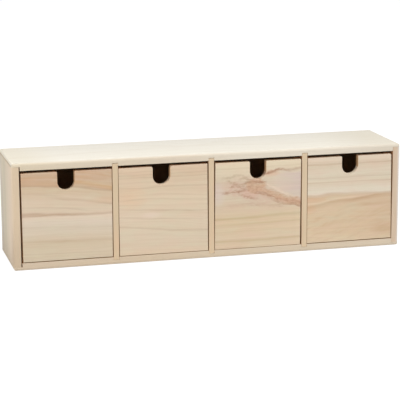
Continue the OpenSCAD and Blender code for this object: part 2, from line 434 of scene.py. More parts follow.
for divider, (early, late, seed) in divider_tones.items():
    low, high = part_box(divider)
    pith = (70, (low.x + high.x) / 2 / MM + 25)
    woods = board_woods(divider, "z", (early, late), CASE_ENDS, pith, 4.4, 0.7, seed,
                        divider_tints_and_shade)
    sanded(divider, "case", "z", woods)


# ---- Back panel ----
# One sheet of thin plywood, laid in the rebate round the back and nailed to the boards. Its face is
# peeled veneer, so the figure is wide and wavy, and its cut edges show the plies.

def plywood(name, grain, early, late, seed):
    """Peeled veneer: the knife followed the rings, so they come to the face in wide, wavy bands."""
    finish, place, along, across, through = new_wood(name, grain)
    wander = (finish.cloud(place, (170.0, 46.0, 46.0), seed, 2.0) - 0.5) * 70.0
    depth = (across * 0.12 + through * 0.6 + wander) / 5.5
    season = finish.sum("FRACT", depth)
    line = season ** 3.0
    drift = finish.cloud(place, (320.0, 60.0, 60.0), seed + 2, 2.0)
    colour = finish.mix(finish.limit(line * 0.45 + (drift - 0.5) * 0.8), early, late)
    return close_wood(finish, place, colour, line, seed + 3, tone(184, 158, 122), 0.3)


sheet = plywood("back panel veneer", "x", tone(224, 206, 174), tone(198, 170, 128), 71)
sheet_edge = plywood("back panel end veneer", "x", tone(206, 182, 146), tone(190, 160, 120), 72)
PLY_EASE = 0.15 * MM
sanded("back_panel", "case", "x", [sheet, sheet_edge], PLY_EASE)


# ---- Drawer fronts ----
# Four pieces of softwood, 7 mm thick, with the fibres level, each cut from another plank, so that
# no two look alike. The ends are rebated for the drawer's walls, the back is grooved for its floor,
# and a U-shaped finger notch is cut in the top edge, whose rim is sanded rounder than the rest.

FRONT_LIP = 3.5 * MM
WALL_T = 5.0 * MM
GROOVE_DEPTH = 2.5 * MM
NOTCH_R = {1: 9.15 * MM, 2: 9.5 * MM, 3: 9.1 * MM, 4: 9.2 * MM}
NOTCH_DEPTH = 20.0 * MM
NOTCH_SHIFT = {1: -0.75 * MM, 2: -2.0 * MM, 3: -0.15 * MM, 4: 0.15 * MM}
MOUTH_R = {1: 1.2 * MM, 2: 2.2 * MM, 3: 1.2 * MM, 4: 1.2 * MM}
TOP_CORNER_R = {1: 0.8 * MM, 2: 0.5 * MM, 3: 1.0 * MM, 4: 1.8 * MM}
# How far each corner was planed in, and down or up, when the front was fitted to its opening:
# lower left, lower right, upper right, upper left. Below 0 it was left full.
FITTED = {
    1: ((0.5, 0.35), (0.4, 0.4), (0.15, 0.0), (0.1, 0.0)),
    2: ((0.0, 0.15), (-0.4, 0.05), (0.0, 0.0), (-0.35, 0.2)),
    3: ((-0.4, -0.1), (0.5, -0.1), (-0.2, 0.5), (0.5, 0.3)),
    4: ((-0.4, 0.25), (-0.7, 0.5), (0.4, 0.1), (-0.05, 0.4)),
}
FRONT_EASE = 0.22 * MM
NOTCH_EASE = 0.45 * MM
# About how wide and how tall a front is, in the millimetres that its figure is drawn in.
FIGURE_WIDE = 97.0
FIGURE_TALL = 96.0


def arc(outline, start, centre, degrees, steps):
    """Carries the outline on from its last corner, round the centre."""
    turned = bmesh.ops.spin(outline, geom=[start], cent=centre, axis=(0, 1, 0), dvec=(0, 0, 0),
                            angle=math.radians(degrees), steps=steps, use_merge=False,
                            use_duplicate=False)
    return [part for part in turned["geom_last"] if isinstance(part, bmesh.types.BMVert)][0]


def corner(outline, last, spot):
    """Carries the outline on to the next corner, in a straight line."""
    vert = outline.verts.new(spot)
    if last is not None:
        outline.edges.new((last, vert))
    return vert


def shape_front(number):
    """The front board: its outline is drawn on the front plane and pushed back in three steps."""
    low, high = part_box(f"drawer_{number}_front")
    floor_low, floor_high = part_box(f"drawer_{number}_floor")
    y = low.y
    middle = (low.x + high.x) / 2 + NOTCH_SHIFT[number]
    mouth = MOUTH_R[number]
    worn = TOP_CORNER_R[number]
    lower_left, lower_right, upper_right, upper_left = [Vector(inset) * MM for inset in FITTED[number]]
    brim_z = high.z - (upper_left.y + upper_right.y) / 2
    radius = NOTCH_R[number]
    round_z = high.z - NOTCH_DEPTH + radius
    board = bmesh.new()
    first = corner(board, None, (low.x + lower_left.x, y, low.z + lower_left.y))
    last = corner(board, first, (high.x - lower_right.x, y, low.z + lower_right.y))
    top_right = Vector((high.x - upper_right.x, y, high.z - upper_right.y))
    last = corner(board, last, top_right - Vector((0, 0, worn)))
    last = arc(board, last, top_right - Vector((worn, 0, worn)), -90, 5)
    last = corner(board, last, (middle + radius + mouth, y, brim_z))
    last = arc(board, last, (middle + radius + mouth, y, brim_z - mouth), -90, 4)
    last = corner(board, last, (middle + radius, y, round_z))
    last = arc(board, last, (middle, y, round_z), 180, 32)
    last = corner(board, last, (middle - radius, y, brim_z - mouth))
    last = arc(board, last, (middle - radius - mouth, y, brim_z - mouth), -90, 4)
    last = corner(board, last, (low.x + upper_left.x, y, high.z - upper_left.y))
    board.edges.new((last, first))
    bmesh.ops.contextual_create(board, geom=board.edges[:])
    cuts = [((low.x + WALL_T, 0, 0), (1, 0, 0)), ((high.x - WALL_T, 0, 0), (1, 0, 0)),
            ((0, 0, floor_low.z), (0, 0, 1)), ((0, 0, floor_high.z), (0, 0, 1))]
    for spot, normal in cuts:
        bmesh.ops.bisect_plane(board, geom=board.faces[:] + board.edges[:] + board.verts[:],
                               dist=MERGE, plane_co=spot, plane_no=normal)

    def push(faces, distance):
        """Pushes faces back and returns them where they now are. The old ones stay inside."""
        pushed = bmesh.ops.extrude_face_region(board, geom=faces)
        verts = [part for part in pushed["geom"] if isinstance(part, bmesh.types.BMVert)]
        bmesh.ops.translate(board, verts=verts, vec=(0, distance, 0))
        return [part for part in pushed["geom"] if isinstance(part, bmesh.types.BMFace)]

    def between_walls(face):
        """True for a face that isn't in the rebates at the front's two ends."""
        return low.x + WALL_T < face.calc_center_median().x < high.x - WALL_T

    def clear_of_groove(face):
        """True for a face that isn't in the groove for the floor."""
        return not floor_low.z < face.calc_center_median().z < floor_high.z

    def rim_share(edge):
        """1 round the notch, down to the share of the plain edges where its mouth has opened out."""
        plain = FRONT_EASE / NOTCH_EASE
        spots = [vert.co for vert in edge.verts]
        if min(spot.z for spot in spots) < low.z + radius:
            return plain
        out = max(abs(spot.x - middle) for spot in spots) - radius
        return plain + (1 - plain) * max(0.0, 1 - max(0.0, out) / mouth)

    back = push(board.faces[:], FRONT_LIP)
    under_tongue = [face for face in back if between_walls(face)]
    tongue = push(under_tongue, high.y - y - FRONT_LIP - GROOVE_DEPTH)
    under_rails = [face for face in tongue if clear_of_groove(face)]
    push(under_rails, GROOVE_DEPTH)
    # The faces that others were pushed on from now lie inside the wood.
    bmesh.ops.delete(board, geom=under_tongue + under_rails, context="FACES")
    bmesh.ops.recalc_face_normals(board, faces=board.faces)
    bmesh.ops.dissolve_limit(board, angle_limit=FLAT_ANGLE, verts=board.verts, edges=board.edges)
    sanding = board.edges.layers.float.new("bevel_weight_edge")
    for edge in board.edges:
        if edge.calc_face_angle_signed() > ARRIS_ANGLE:
            edge[sanding] = rim_share(edge)
    return board


def start_front(number, name, drop, seed):
    """A new finish for a front. u is 0 at its left and 1 at its right, v is 0 at its top and 1 at its
    bottom, and flow follows the fibres, which drop to the right by a share that changes with v."""
    low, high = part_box(f"drawer_{number}_front")
    finish, place, along, across, through = new_wood(name, "x")
    u = (along - low.x / MM) / ((high.x - low.x) / MM)
    v = (high.z / MM - through) / ((high.z - low.z) / MM)
    waver = finish.cloud(place, (60.0, 9.0, 12.0), seed, 1.5) * 0.022
    v = v + waver + finish.cloud(place, (13.0, 9.0, 5.0), seed + 1, 1.0) * 0.012 - 0.017
    level = v - u * u * finish.ramp(v, drop)
    flow = finish.add("CombineXYZ", None, {0: along, 1: across, 2: level * FIGURE_TALL})
    return finish, place, flow, u, v, level


def ridge(finish, distance, above, below):
    """1 where the distance is 0, falling to 0 within above on its low side and below on the other."""
    rise = finish.limit(1.0 + distance / above)
    fall = finish.limit(1.0 - distance / below)
    return finish.sum("MINIMUM", rise, fall)


def streak(finish, u, v, points, darkness, above, below):
    """A line drawn through (u, v) points, whose darkness changes with u."""
    path = finish.ramp(u, points, "CARDINAL")
    return ridge(finish, v - path, above, below) * finish.ramp(u, darkness)


def drawn_lines(finish, u, v, strokes):
    """Several streaks, each given as its points, darkness, above and below. The darkest one shows."""
    whole = streak(finish, u, v, *strokes[0])
    for stroke in strokes[1:]:
        whole = finish.sum("MAXIMUM", whole, streak(finish, u, v, *stroke))
    return whole


def oval(finish, u, v, centre, reach):
    """1 in the middle of a soft oval, falling to 0 at its edge."""
    far = ((u - centre[0]) / reach[0]) ** 2.0 + ((v - centre[1]) / reach[1]) ** 2.0
    return finish.limit(1.0 - far)


def threads(finish, flow, colour, pale, dark, share, seed, rosy=1.0):
    """The fine growth lines between the drawn ones, and a faint blush that comes and goes."""
    fine = finish.cloud(flow, (85.0, 12.0, 1.5), seed, 3.0, 0.65) - 0.5
    colour = finish.mix(finish.limit(fine * share * 2.0), colour, dark)
    colour = finish.mix(finish.limit(fine * share * -2.0), colour, pale)
    blush = finish.cloud(flow, (26.0, 9.0, 7.0), seed + 1, 1.0) - 0.5
    colour = finish.mix(finish.limit(blush * rosy), colour, tone(222, 190, 170))
    return finish.mix(finish.limit(blush * -1.2), colour, tone(212, 205, 178))


front_fibre = tone(190, 162, 130)
front_finishes = {}

# The first front: a brown band along the top, whose lower edge drops to the right, one strong double
# line across the middle, pale wood under it and tan wood at the bottom.
drop = [(0.1, 0.1), (0.38, 0.1), (0.48, 0.02), (0.8, 0.015)]
finish, place, flow, u, v, level = start_front(1, "first front wood", drop, 101)
under = [
    (0.15, tone(205, 183, 153)), (0.24, tone(208, 187, 160)), (0.32, tone(212, 193, 169)),
    (0.37, tone(214, 195, 170)), (0.40, tone(211, 193, 169)), (0.44, tone(214, 194, 170)),
    (0.475, tone(203, 181, 157)), (0.495, tone(220, 202, 180)), (0.56, tone(216, 201, 182)),
    (0.62, tone(209, 195, 174)), (0.68, tone(210, 196, 174)), (0.75, tone(208, 191, 166)),
    (0.785, tone(204, 186, 159)), (0.83, tone(206, 190, 164)), (1.0, tone(204, 189, 164)),
]
colour = finish.ramp(level, under)
band_path = [(0.0, 0.15), (0.38, 0.175), (0.65, 0.19), (0.82, 0.21), (1.0, 0.25)]
band_edge = finish.ramp(u, band_path, "CARDINAL")
depth = v / band_edge
band_tones = [
    (0.0, tone(203, 174, 147)), (0.3, tone(198, 168, 138)), (0.5, tone(200, 169, 140)),
    (0.75, tone(198, 167, 135)), (0.92, tone(196, 163, 130)), (1.0, tone(190, 160, 128)),
]
band = finish.limit((band_edge - v) * 60.0)
colour = finish.mix(band, colour, finish.ramp(depth, band_tones))
orange = finish.cloud(flow, (38.0, 9.0, 3.2), 105, 2.0, 0.6)
colour = finish.mix(finish.limit((orange - 0.47) * 2.6) * band, colour, tone(198, 158, 120))
golden = streak(finish, u, v, [(0.5, 0.11), (0.7, 0.135), (0.85, 0.165), (1.0, 0.205)],
                [(0.45, 0.0), (0.6, 0.6), (0.85, 0.7), (1.0, 0.6)], 0.035, 0.035)
colour = finish.mix(golden, colour, tone(203, 167, 124))
lines = drawn_lines(finish, u, v, [
    ([(0.0, 0.145), (0.38, 0.17), (0.65, 0.188), (1.0, 0.245)],
     [(0.0, 0.5), (0.25, 0.6), (0.5, 0.3), (0.7, 0.7), (1.0, 0.5)], 0.03, 0.01),
    ([(0.0, 0.225), (0.25, 0.25), (0.5, 0.285)], [(0.0, 0.2), (0.25, 0.3), (0.5, 0.0)], 0.03, 0.02),
    ([(0.3, 0.29), (0.45, 0.312), (0.7, 0.34), (1.0, 0.39)],
     [(0.25, 0.0), (0.45, 0.4), (0.8, 0.25), (1.0, 0.5)], 0.026, 0.012),
    ([(0.0, 0.385), (0.35, 0.4), (0.6, 0.43), (0.85, 0.465)],
     [(0.0, 0.15), (0.3, 0.25), (0.6, 0.35), (0.85, 0.0)], 0.022, 0.012),
    ([(0.0, 0.462), (0.18, 0.462), (0.32, 0.478)],
     [(0.0, 0.75), (0.18, 0.75), (0.3, 0.3), (0.38, 0.0)], 0.026, 0.018),
    ([(0.0, 0.486), (0.24, 0.486), (0.32, 0.48), (0.5, 0.49), (0.75, 0.498), (1.0, 0.494)],
     [(0.0, 0.55), (0.22, 0.75), (0.3, 0.9), (0.52, 0.85), (0.7, 0.5), (0.92, 0.2)], 0.03, 0.012),
    ([(0.22, 0.492), (0.4, 0.494), (0.6, 0.498), (0.85, 0.503)],
     [(0.2, 0.0), (0.26, 0.6), (0.55, 0.65), (0.85, 0.0)], 0.012, 0.008),
    ([(0.0, 0.615), (0.35, 0.62)], [(0.0, 0.25), (0.4, 0.0)], 0.012, 0.01),
    ([(0.0, 0.772), (0.4, 0.785), (0.7, 0.785), (1.0, 0.795)],
     [(0.0, 0.3), (0.3, 0.35), (0.42, 0.5), (0.6, 0.3), (1.0, 0.25)], 0.035, 0.016),
    ([(0.0, 0.915), (1.0, 0.93)], [(0.0, 0.2), (1.0, 0.1)], 0.02, 0.01),
])
patchy = finish.limit(0.45 + finish.cloud(flow, (16.0, 9.0, 6.0), 106, 1.0) * 1.1)
colour = threads(finish, flow, colour, tone(224, 208, 188), tone(190, 162, 134), 0.5, 103, 0.5)
colour = finish.mix(finish.limit((u - 0.4) * 3.0) * 0.05, colour, tone(234, 218, 198))
warm = oval(finish, u, v, (0.96, 0.345), (0.3, 0.055))
colour = finish.mix(warm * 0.45, colour, tone(212, 178, 148))
colour = finish.mix(lines * patchy * 0.9, colour, tone(181, 153, 128))
front_finishes[1] = close_wood(finish, place, colour, lines, 104, front_fibre, 0.1)

# The second front: even, warm wood with many fine lines that drop a little to the right, an orange
# blush at the left and a pale pink one in the middle.
drop = [(0.2, 0.01), (0.4, 0.05), (0.7, 0.09), (0.95, 0.02)]
finish, place, flow, u, v, level = start_front(2, "second front wood", drop, 111)
tones = [
    (0.0, tone(219, 195, 169)), (0.05, tone(216, 192, 164)), (0.09, tone(213, 189, 161)),
    (0.14, tone(216, 194, 167)), (0.2, tone(218, 197, 171)), (0.235, tone(214, 193, 166)),
    (0.3, tone(217, 198, 171)), (0.4, tone(219, 200, 174)), (0.5, tone(216, 197, 172)),
    (0.55, tone(219, 201, 177)), (0.65, tone(216, 198, 173)), (0.76, tone(214, 198, 174)),
    (0.92, tone(214, 196, 172)), (1.0, tone(216, 194, 167)),
]
colour = finish.ramp(level, tones)
orange = oval(finish, u, v, (0.12, 0.34), (0.22, 0.16))
colour = finish.mix(orange * 0.45, colour, tone(224, 186, 152))
pink = oval(finish, u, v, (0.36, 0.55), (0.14, 0.04))
colour = finish.mix(pink * 0.6, colour, tone(226, 206, 190))
lines = drawn_lines(finish, u, v, [
    ([(0.0, 0.05), (1.0, 0.058)], [(0.0, 0.3), (1.0, 0.3)], 0.014, 0.008),
    ([(0.0, 0.085), (1.0, 0.09)], [(0.0, 0.5), (0.3, 0.3), (1.0, 0.35)], 0.014, 0.01),
    ([(0.0, 0.117), (1.0, 0.127)], [(0.0, 0.35), (0.5, 0.5), (1.0, 0.35)], 0.012, 0.008),
    ([(0.0, 0.165), (1.0, 0.172)], [(0.0, 0.2), (1.0, 0.2)], 0.012, 0.008),
    ([(0.0, 0.222), (0.2, 0.238), (0.5, 0.232), (1.0, 0.245)],
     [(0.0, 0.2), (0.15, 0.4), (0.45, 0.5), (1.0, 0.3)], 0.016, 0.009),
    ([(0.25, 0.31), (0.6, 0.325), (1.0, 0.35)],
     [(0.2, 0.0), (0.4, 0.35), (1.0, 0.3)], 0.012, 0.008),
    ([(0.0, 0.375), (0.3, 0.365), (0.6, 0.38), (1.0, 0.4)],
     [(0.0, 0.2), (0.15, 0.45), (0.3, 0.3), (1.0, 0.35)], 0.014, 0.008),
    ([(0.0, 0.425), (0.5, 0.44), (1.0, 0.46)], [(0.0, 0.3), (0.5, 0.15), (1.0, 0.3)], 0.014, 0.008),
    ([(0.05, 0.478), (0.4, 0.498), (0.8, 0.522), (1.0, 0.53)],
     [(0.0, 0.2), (0.2, 0.4), (0.5, 0.65), (0.8, 0.7), (1.0, 0.3)], 0.016, 0.008),
    ([(0.0, 0.56), (0.3, 0.585), (0.6, 0.605), (1.0, 0.628)],
     [(0.0, 0.3), (0.3, 0.5), (0.5, 0.6), (0.8, 0.4), (1.0, 0.2)], 0.016, 0.01),
    ([(0.0, 0.668), (0.25, 0.695), (0.5, 0.73), (0.75, 0.75), (1.0, 0.762)],
     [(0.0, 0.65), (0.3, 0.55), (0.6, 0.65), (1.0, 0.6)], 0.022, 0.01),
])
patchy = finish.limit(0.35 + finish.cloud(flow, (24.0, 9.0, 4.0), 116, 1.0) * 1.2)
colour = threads(finish, flow, colour, tone(228, 211, 190), tone(198, 170, 140), 0.55, 113, 0.7)
colour = finish.mix(lines * patchy * 0.7, colour, tone(184, 158, 130))
front_finishes[2] = close_wood(finish, place, colour, lines, 114, front_fibre, 0.1)

# The third front: cut beside a branch. A red-brown band runs down to the right from a mottled knot
# in the middle, a pale heart lies over it, wisps trail to the left, and level lines lie below.
drop = [(0.55, 0.0), (0.7, -0.015), (1.0, 0.0)]
finish, place, flow, u, v, level = start_front(3, "third front wood", drop, 121)
swirl = (finish.cloud(place, (11.0, 10.0, 4.5), 122, 2.5, 0.65) - 0.5) * 0.06
ruffle = (finish.cloud(place, (2.6, 6.0, 1.6), 123, 1.0) - 0.5) * 0.04
bent = v + swirl + ruffle
calm = v + swirl * 0.35 + ruffle * 0.6
tones = [
    (0.0, tone(230, 214, 186)), (0.07, tone(223, 207, 180)), (0.14, tone(220, 204, 178)),
    (0.24, tone(210, 193, 170)), (0.34, tone(209, 191, 169)), (0.44, tone(213, 196, 172)),
    (0.5, tone(213, 191, 166)), (0.57, tone(214, 193, 166)), (0.61, tone(216, 196, 166)),
    (0.65, tone(211, 190, 158)), (0.69, tone(218, 197, 165)), (0.74, tone(213, 191, 161)),
    (0.78, tone(217, 196, 166)), (0.83, tone(214, 193, 164)), (0.88, tone(216, 196, 169)),
    (0.925, tone(210, 190, 162)), (0.96, tone(216, 195, 167)), (1.0, tone(208, 186, 158)),
]
colour = finish.ramp(level, tones)
dusky = oval(finish, u, bent, (0.03, 0.36), (0.1, 0.16))
colour = finish.mix(dusky * 0.6, colour, tone(214, 198, 189))
heart_floor = finish.ramp(u, [(0.5, 0.3), (0.65, 0.33), (0.8, 0.41), (1.0, 0.48)], "CARDINAL")
heart_roof = finish.ramp(u, [(0.5, 0.2), (0.62, 0.16), (0.75, 0.12), (1.0, 0.115)], "CARDINAL")
heart = finish.limit((heart_floor - bent) * 16.0) * finish.limit((bent - heart_roof) * 22.0)
heart = heart * finish.limit((u - 0.56) * 7.0)
heart_tone = finish.mix(finish.limit((u - 0.66) * 3.5), tone(217, 199, 179), tone(211, 192, 181))
colour = finish.mix(heart, colour, heart_tone)
glow = oval(finish, u, calm, (0.64, 0.15), (0.13, 0.05))
colour = finish.mix(glow * 0.7, colour, tone(214, 178, 148))
mottle = finish.cloud(place, (6.0, 6.0, 2.6), 124, 3.0, 0.7)
specks = finish.limit((finish.cloud(place, (3.4, 5.0, 1.7), 125, 2.0, 0.6) - 0.45) * 4.0)
rosy = oval(finish, u, bent, (0.5, 0.43), (0.22, 0.11))
rosy = finish.sum("MAXIMUM", rosy, oval(finish, u, bent, (0.26, 0.31), (0.19, 0.085)))
rosy_share = finish.limit(rosy * 1.3) * finish.limit((mottle - 0.3) * 2.6)
colour = finish.mix(rosy_share * 0.85, colour, tone(209, 175, 157))
bruise = oval(finish, u, bent, (0.4, 0.375), (0.11, 0.06))
colour = finish.mix(finish.limit(bruise * 1.6) * 0.75, colour, tone(211, 175, 156))
gleam = streak(finish, u, bent, [(0.56, 0.265), (0.66, 0.315), (0.76, 0.37), (0.86, 0.42), (1.0, 0.45)],
               [(0.53, 0.0), (0.6, 0.8), (0.85, 0.7), (1.0, 0.1)], 0.035, 0.02)
colour = finish.mix(gleam, colour, tone(230, 209, 190))
knot = oval(finish, u, bent, (0.475, 0.284), (0.13, 0.098))
knot_share = finish.limit(knot * 2.0) * finish.limit(0.35 + mottle)
band_path = [(0.42, 0.305), (0.52, 0.34), (0.6, 0.372), (0.7, 0.416), (0.816, 0.462), (1.0, 0.497)]
band_darkness = [(0.38, 0.0), (0.48, 0.7), (0.6, 0.85), (0.8, 0.95), (1.0, 0.88)]
band = streak(finish, u, bent, band_path, band_darkness, 0.062, 0.058)
band_share = finish.limit(band * 1.5) * finish.limit(0.4 + mottle)
reddened = finish.sum("MAXIMUM", knot_share, band_share)
colour = finish.mix(reddened, colour, tone(206, 168, 139))
colour = finish.mix(reddened * specks * 0.75, colour, tone(180, 136, 106))
frayed = finish.limit(oval(finish, u, bent, (0.33, 0.285), (0.27, 0.13)) * 1.5) * specks
colour = finish.mix(frayed * 0.4, colour, tone(190, 150, 128))
arch_path = [(0.57, 0.155), (0.63, 0.14), (0.7, 0.12), (0.77, 0.109), (0.86, 0.12), (1.0, 0.104)]
arch_darkness = [(0.55, 0.0), (0.58, 0.9), (0.74, 0.95), (0.82, 0.6), (1.0, 0.4)]
arch = streak(finish, u, calm, arch_path, arch_darkness, 0.022, 0.026)
lines = drawn_lines(finish, u, bent, [
    ([(0.34, 0.245), (0.45, 0.236), (0.58, 0.25)],
     [(0.32, 0.0), (0.38, 1.0), (0.54, 0.9), (0.62, 0.0)], 0.024, 0.018),
    ([(0.42, 0.35), (0.52, 0.372), (0.6, 0.395), (0.7, 0.436), (0.816, 0.47), (1.0, 0.5)],
     [(0.4, 0.0), (0.47, 0.55), (0.66, 0.65), (0.76, 0.4), (0.9, 0.35), (1.0, 0.5)], 0.022, 0.02),
    ([(0.6, 0.436), (0.72, 0.478), (0.82, 0.51), (0.92, 0.524), (1.0, 0.538)],
     [(0.58, 0.0), (0.7, 0.5), (0.82, 0.4), (0.9, 0.6), (1.0, 0.75)], 0.026, 0.02),
    ([(0.08, 0.355), (0.2, 0.352), (0.3, 0.335), (0.4, 0.325)],
     [(0.06, 0.0), (0.12, 0.7), (0.3, 0.8), (0.46, 0.0)], 0.02, 0.016),
    ([(0.14, 0.215), (0.22, 0.255), (0.3, 0.27), (0.37, 0.256)],
     [(0.12, 0.0), (0.17, 0.7), (0.3, 0.5), (0.37, 0.7), (0.45, 0.0)], 0.02, 0.018),
    ([(0.16, 0.292), (0.24, 0.285), (0.32, 0.305), (0.4, 0.3)],
     [(0.14, 0.0), (0.2, 0.75), (0.26, 0.4), (0.34, 0.5), (0.42, 0.0)], 0.02, 0.016),
    ([(0.08, 0.178), (0.2, 0.17), (0.29, 0.152), (0.37, 0.18)],
     [(0.06, 0.0), (0.12, 0.45), (0.29, 0.5), (0.4, 0.0)], 0.022, 0.018),
    ([(0.26, 0.365), (0.36, 0.405), (0.44, 0.43), (0.52, 0.44)],
     [(0.24, 0.0), (0.33, 0.6), (0.42, 0.6), (0.54, 0.0)], 0.026, 0.02),
    ([(0.27, 0.205), (0.36, 0.2), (0.43, 0.215)],
     [(0.25, 0.0), (0.32, 0.55), (0.42, 0.55), (0.47, 0.0)], 0.022, 0.018),
    ([(0.1, 0.5), (0.4, 0.495), (0.6, 0.515), (0.85, 0.53)],
     [(0.08, 0.0), (0.2, 0.15), (0.5, 0.25), (0.6, 0.1), (0.75, 0.25), (0.85, 0.0)], 0.03, 0.03),
])
lines = finish.sum("MAXIMUM", arch, lines)
level_lines = drawn_lines(finish, u, v, [
    ([(0.0, 0.075), (1.0, 0.065)], [(0.0, 0.2), (1.0, 0.2)], 0.014, 0.01),
    ([(0.0, 0.65), (0.5, 0.642), (1.0, 0.63)], [(0.0, 0.55), (0.5, 0.5), (1.0, 0.45)], 0.03, 0.02),
    ([(0.0, 0.725), (1.0, 0.71)], [(0.0, 0.2), (0.6, 0.4), (1.0, 0.35)], 0.028, 0.02),
    ([(0.0, 0.805), (1.0, 0.8)], [(0.0, 0.25), (1.0, 0.2)], 0.014, 0.01),
    ([(0.0, 0.915), (0.5, 0.918), (1.0, 0.908)], [(0.0, 0.5), (1.0, 0.45)], 0.024, 0.016),
])
patchy = finish.limit((finish.cloud(place, (5.0, 9.0, 2.8), 126, 2.5, 0.65) - 0.18) * 2.6)
lit = finish.limit((u - 0.4) * 1.8) * finish.limit((v - 0.5) * 7.0)
colour = finish.mix(lit * 0.12, colour, tone(240, 222, 196))
colour = threads(finish, flow, colour, tone(228, 212, 188), tone(194, 164, 130), 0.5, 128)
yellowish = finish.limit((0.3 - v) * 12.0) * finish.limit((0.5 - u) * 6.0)
line_tone = finish.mix(yellowish, tone(165, 120, 96), tone(176, 151, 120))
colour = finish.mix(lines * patchy, colour, line_tone)
colour = finish.mix(level_lines, colour, tone(191, 169, 130))
front_finishes[3] = close_wood(finish, place, colour, lines, 129, front_fibre, 0.1)

# The fourth front: pale cream sapwood at the top, orange-tan heartwood under it, and between them
# thin streaks of both that rise from the left edge.
drop = [(0.0, 0.0), (1.0, 0.0)]
finish, place, flow, u, v, level = start_front(4, "fourth front wood", drop, 131)
sap_tones = [
    (0.0, tone(228, 209, 188)), (0.04, tone(225, 206, 184)), (0.08, tone(214, 197, 173)),
    (0.12, tone(219, 202, 179)), (0.2, tone(221, 208, 186)), (0.25, tone(217, 205, 183)),
    (0.28, tone(222, 207, 185)), (0.32, tone(219, 202, 180)), (0.37, tone(222, 210, 190)),
    (0.42, tone(224, 213, 194)),
]
colour = finish.ramp(v, sap_tones)
boundary_path = [(0.0, 0.432), (0.12, 0.436), (0.25, 0.418), (0.4, 0.415), (0.6, 0.425), (1.0, 0.438)]
boundary = finish.ramp(u, boundary_path, "CARDINAL")
heartwood = finish.mix(u, tone(216, 193, 162), tone(210, 184, 154))
foot = finish.limit((v - 0.86) * 7.0) * finish.limit(1.5 - u)
heartwood = finish.mix(foot, heartwood, tone(217, 197, 168))
below = finish.limit((v - boundary) * 24.0)
colour = finish.mix(below, colour, heartwood)
ember = oval(finish, u, v, (0.02, 0.49), (0.22, 0.05)) + oval(finish, u, v, (0.02, 0.6), (0.1, 0.07))
colour = finish.mix(finish.limit(ember) * below * 0.6, colour, tone(216, 178, 142))
slanted = finish.add("CombineXYZ", None, {0: u * FIGURE_WIDE, 2: v * FIGURE_TALL + u * 34.0})
shadow = finish.cloud(slanted, (24.0, 9.0, 4.5), 134, 2.5, 0.6)
shadow_share = finish.limit((v - 0.5) * 5.0) * below
darker = finish.limit((shadow - 0.5) * 3.5) * shadow_share
paler = finish.limit((0.5 - shadow) * 3.5) * shadow_share
colour = finish.mix(darker * 0.55, colour, tone(200, 166, 130))
colour = finish.mix(paler * 0.5, colour, tone(221, 198, 162))
burl = oval(finish, u, v, (0.93, 0.88), (0.2, 0.08))
colour = finish.mix(burl * 0.6, colour, tone(199, 168, 134))
pale = streak(finish, u, v, [(0.0, 0.548), (0.17, 0.525), (0.35, 0.492), (0.55, 0.478), (0.8, 0.462)],
              [(0.0, 0.5), (0.3, 0.75), (0.55, 0.7), (0.85, 0.0)], 0.02, 0.016)
colour = finish.mix(pale, colour, tone(226, 202, 174))
lines = drawn_lines(finish, u, v, [
    ([(0.0, 0.444), (0.12, 0.448), (0.25, 0.428), (0.4, 0.426), (0.6, 0.436), (1.0, 0.452)],
     [(0.0, 0.3), (0.25, 0.4), (0.5, 0.2), (0.85, 0.3), (1.0, 0.4)], 0.022, 0.05),
    ([(0.0, 0.575), (0.2, 0.542), (0.35, 0.515), (0.55, 0.51), (0.75, 0.48), (0.95, 0.465)],
     [(0.0, 0.3), (0.2, 0.5), (0.4, 0.4), (0.6, 0.65), (0.8, 0.6), (1.0, 0.35)], 0.024, 0.05),
    ([(0.4, 0.6), (0.6, 0.57), (0.8, 0.58), (1.0, 0.57)],
     [(0.35, 0.0), (0.7, 0.35), (1.0, 0.1)], 0.03, 0.03),
    ([(0.0, 0.085), (0.5, 0.09), (1.0, 0.085)], [(0.0, 0.4), (0.5, 0.3), (1.0, 0.4)], 0.016, 0.01),
    ([(0.0, 0.3), (0.5, 0.298), (1.0, 0.308)],
     [(0.0, 0.35), (0.5, 0.25), (0.8, 0.35), (1.0, 0.4)], 0.012, 0.01),
    ([(0.0, 0.24), (1.0, 0.25)], [(0.0, 0.2), (1.0, 0.2)], 0.012, 0.01),
])
patchy = finish.limit(0.5 + finish.cloud(flow, (20.0, 9.0, 6.0), 136, 1.5))
colour = threads(finish, flow, colour, tone(230, 212, 188), tone(198, 166, 134), 0.45, 137)
colour = finish.mix(lines * patchy, colour, tone(186, 150, 116))
front_finishes[4] = close_wood(finish, place, colour, lines, 138, front_fibre, 0.1)


FRONT_ENDS = (tone(202, 164, 122), tone(180, 138, 96))


def gap_shaded_ends(middle):
    """Painted shade: the two ends of a front, which face the gaps beside it, are painted dark brown,
    unlike the sides of its notch.
    """
    def tints_and_painted_light(finish, colour, along, across, through):
        away = finish.sum("ABSOLUTE", along - middle)
        # Painted shade on the end faces, which stand in the gaps beside the drawer.
        return finish.mix(finish.limit((away - 30.0) * 0.2), colour, tone(148, 105, 64))
    return tints_and_painted_light


for number, front_wood in front_finishes.items():
    low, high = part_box(f"drawer_{number}_front")
    front_end = softwood(f"front {number} end grain", "x", FRONT_ENDS, (-30, 20), 5.0, END_STRENGTH,
                         140 + number, True, gap_shaded_ends((low.x + high.x) / 2 / MM))
    finish_board(shape_front(number), f"drawer_{number}_notched_front", f"drawer_{number}",
                 [f"drawer_{number}_front"], "x", [front_wood, front_end],
                 NOTCH_EASE)


# ---- Drawer walls and backs ----
# The rest of each drawer's box, in 5 mm softwood: two walls that lap into the ends of the front,
# and a back between them. They are pinned through the walls. The wood is plainer than the fronts.

